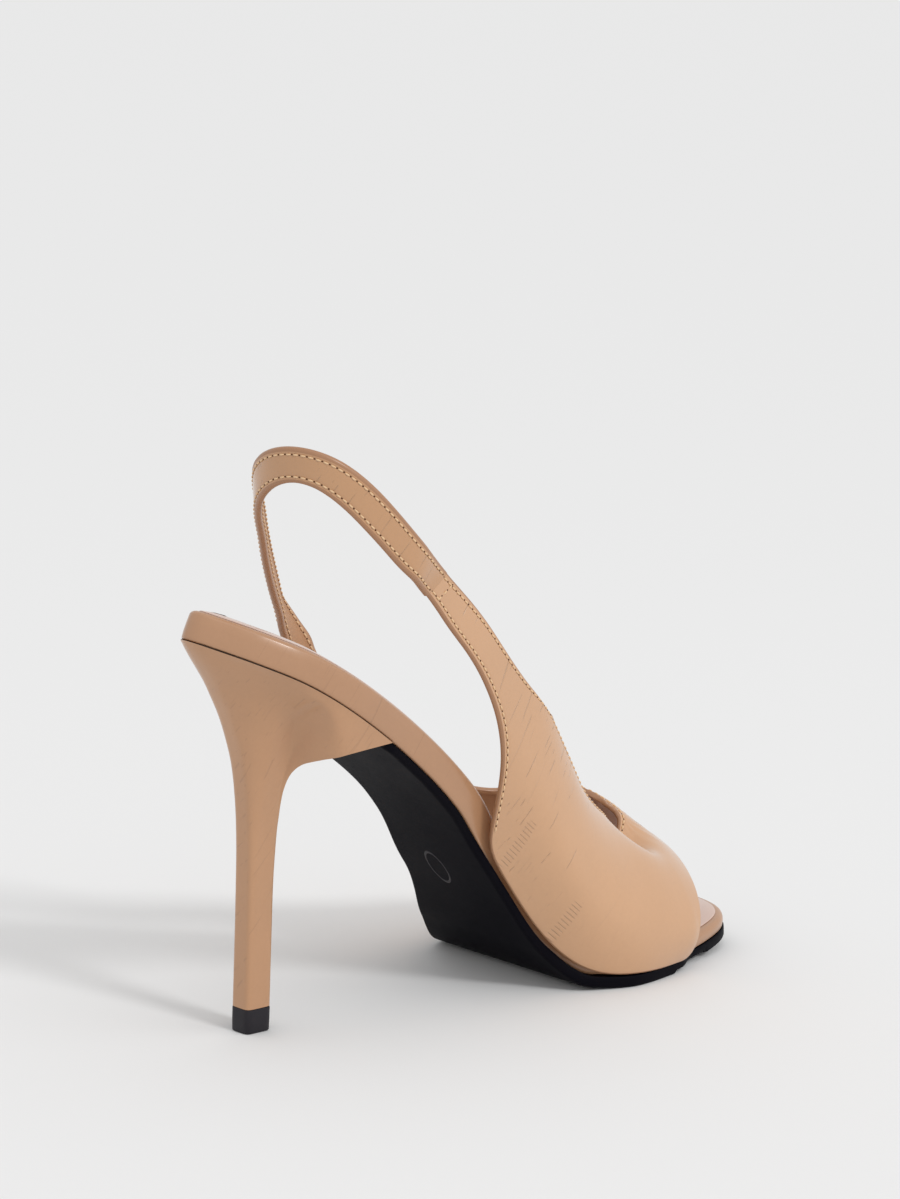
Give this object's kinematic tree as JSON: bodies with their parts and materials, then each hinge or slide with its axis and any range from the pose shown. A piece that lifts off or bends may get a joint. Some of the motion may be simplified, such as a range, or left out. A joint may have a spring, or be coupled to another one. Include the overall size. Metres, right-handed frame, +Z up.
{
  "type": "slingback sandal",
  "caption": "Right-foot peep-toe slingback sandal with a slim high heel, a crinkled tan upper, a slack sling strap and a dark outsole.",
  "frame": {"origin": "middle of the outline on the floor, under the sole", "axes": "+Z up, -Y towards the toe, +X towards the inner side of the foot"},
  "size_m": [0.074, 0.196, 0.1613],
  "materials": {
    "outsole": "matt, near black",
    "heel": "smooth, satin, tan",
    "top_lift": "matt, near black",
    "footbed": "smooth, satin, tan, wrapped round the edge",
    "insole": "satin, pale tan",
    "upper": "crinkled patent, glossy, tan",
    "sling_strap": "crinkled patent, glossy, tan"
  },
  "bodies": {
    "root": {"outsole": "outsole", "heel": "heel", "top_lift": "top_lift", "footbed": "footbed", "insole": "insole", "upper": "upper", "sling_strap": "sling_strap"}
  },
  "joints": []
}
